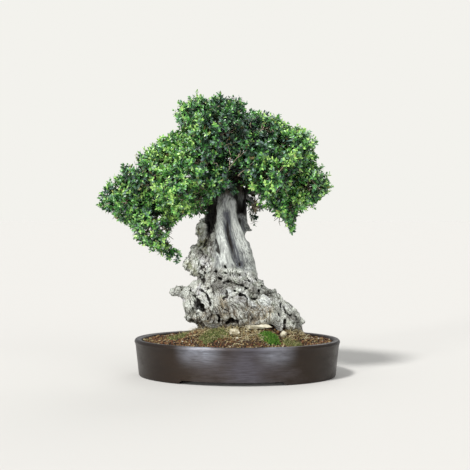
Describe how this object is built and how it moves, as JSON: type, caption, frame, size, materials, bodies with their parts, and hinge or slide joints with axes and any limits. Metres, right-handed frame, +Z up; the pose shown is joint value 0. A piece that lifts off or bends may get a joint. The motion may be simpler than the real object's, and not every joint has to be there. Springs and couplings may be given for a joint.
{
  "type": "olive bonsai in an oval pot",
  "caption": "Old olive bonsai with a burled deadwood trunk and a dense small-leaved crown, in a low oval stoneware pot on two end feet.",
  "frame": {"origin": "on the ground, under the middle of the whole object's bounding box; the pot's middle is 38.9 mm towards +X from it, because the crown reaches out further to the left", "axes": "+Z up, front of the tree towards -Y, +X to the viewer's right along the pot's long axis"},
  "size_m": [0.5286, 0.3308, 0.6094],
  "materials": {
    "stoneware": "satin",
    "soil": "matte",
    "wood": "matte",
    "leaves": "satin",
    "stone": "matte",
    "moss": "matte",
    "screen_plastic": "matte",
    "clip_wire": "satin"
  },
  "bodies": {
    "root": {"drain_screen_left": "screen_plastic", "drain_screen_right": "screen_plastic", "flat_stone_large": "stone", "flat_stone_small": "stone", "foliage_apex_front": "leaves", "foliage_apex_left": "leaves", "foliage_apex_mid": "leaves", "foliage_back_left": "leaves", "foliage_back_mid": "leaves", "foliage_back_right": "leaves", "foliage_front_left": "leaves", "foliage_front_low": "leaves", "foliage_front_right": "leaves", "foliage_left_droop": "leaves", "foliage_left_inner": "leaves", "foliage_left_low": "leaves", "foliage_left_mid": "leaves", "foliage_left_outer": "leaves", "foliage_left_upper": "leaves", "foliage_right_droop": "leaves", "foliage_right_low": "leaves", "foliage_right_mid": "leaves", "foliage_right_outer": "leaves", "foliage_right_top": "leaves", "foliage_right_upper": "leaves", "moss_bright": "moss", "moss_front": "moss", "moss_left": "moss", "moss_right": "moss", "pebble": "stone", "pot": "stoneware", "screen_clip_left": "clip_wire", "screen_clip_right": "clip_wire", "soil": "soil", "trunk": "wood"}
  },
  "joints": []
}
